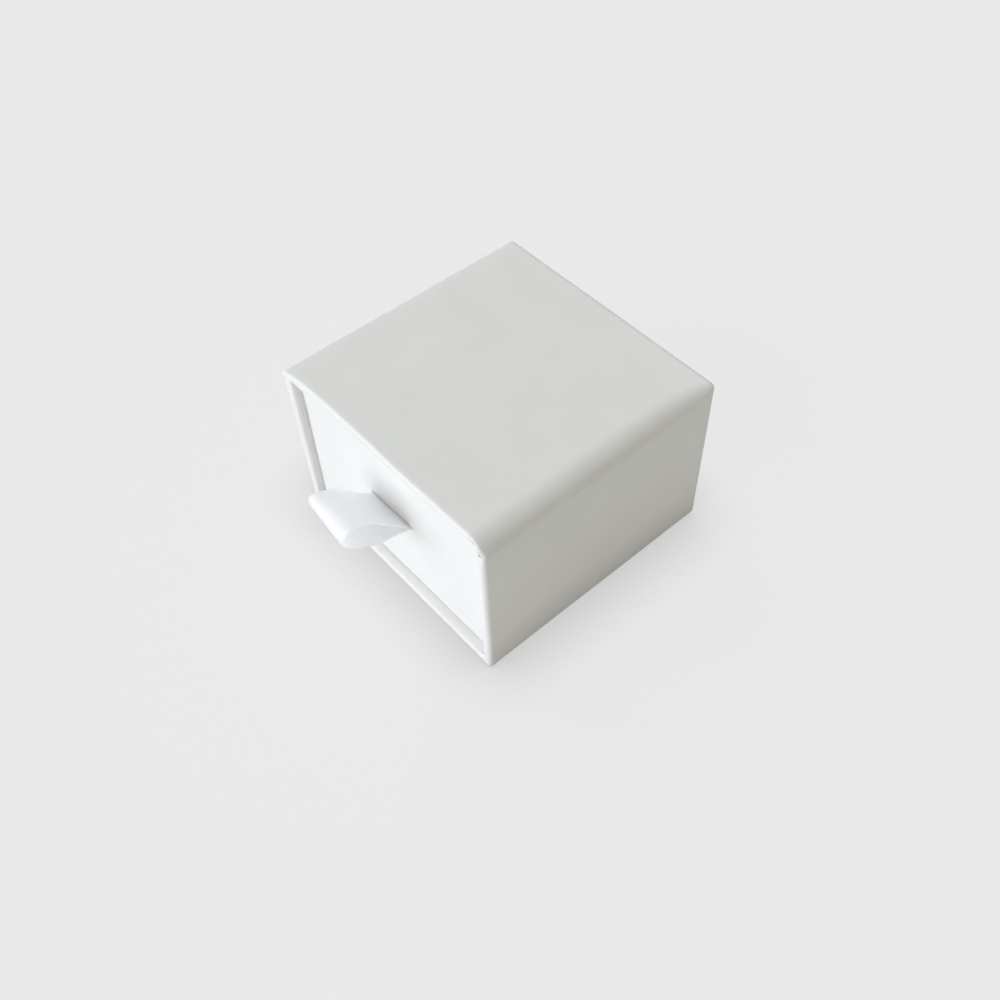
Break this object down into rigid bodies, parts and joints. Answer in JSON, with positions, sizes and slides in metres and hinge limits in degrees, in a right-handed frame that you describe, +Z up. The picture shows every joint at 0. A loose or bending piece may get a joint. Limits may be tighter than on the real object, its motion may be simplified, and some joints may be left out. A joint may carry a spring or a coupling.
{
  "type": "gift box with drawer",
  "caption": "small rigid paper gift box: a wrapped board sleeve, open at the front, with a sliding drawer, a satin ribbon loop to pull it by and a padded ring insert",
  "frame": {"origin": "the middle of the sleeve's underside, on the surface that the box stands on", "axes": "+Z up, -Y out of the open front, the way the drawer is pulled, +X to the right as seen from the front"},
  "size_m": [0.06, 0.0736, 0.04],
  "materials": {
    "wrap_paper": "matte",
    "lining_paper": "matte",
    "grey_board": "matte",
    "stay_tape": "matte",
    "ribbon_satin": "satin",
    "insert_foam": "matte",
    "insert_velvet": "matte"
  },
  "bodies": {
    "sleeve": {"sleeve_top_board": "grey_board", "sleeve_base_board": "grey_board", "sleeve_left_board": "grey_board", "sleeve_right_board": "grey_board", "sleeve_back_board": "grey_board", "sleeve_wrap": "wrap_paper", "sleeve_lining": "lining_paper"},
    "drawer": {"drawer_base_board": "grey_board", "drawer_front_board": "grey_board", "drawer_back_board": "grey_board", "drawer_left_board": "grey_board", "drawer_right_board": "grey_board", "drawer_corner_stays": "stay_tape", "drawer_wrap": "wrap_paper", "drawer_floor_paper": "lining_paper", "pull_tails": "ribbon_satin", "pull_patch": "lining_paper", "insert_card": "grey_board", "insert_foam": "insert_foam", "insert_velvet": "insert_velvet"},
    "pull": {"pull_loop": "ribbon_satin"}
  },
  "joints": [
    {"name": "drawer_slide", "type": "slide", "parent": "sleeve", "child": "drawer", "axis": [0, -1, 0], "range_m": [0, 0.06]},
    {"name": "pull_flex", "type": "hinge", "parent": "drawer", "child": "pull", "pos_m": [-0.0014, -0.02845, 0.02], "axis": [-1, 0, 0], "range_deg": [-90, 35], "stiffness_Nm_per_rad": 0.0005}
  ]
}
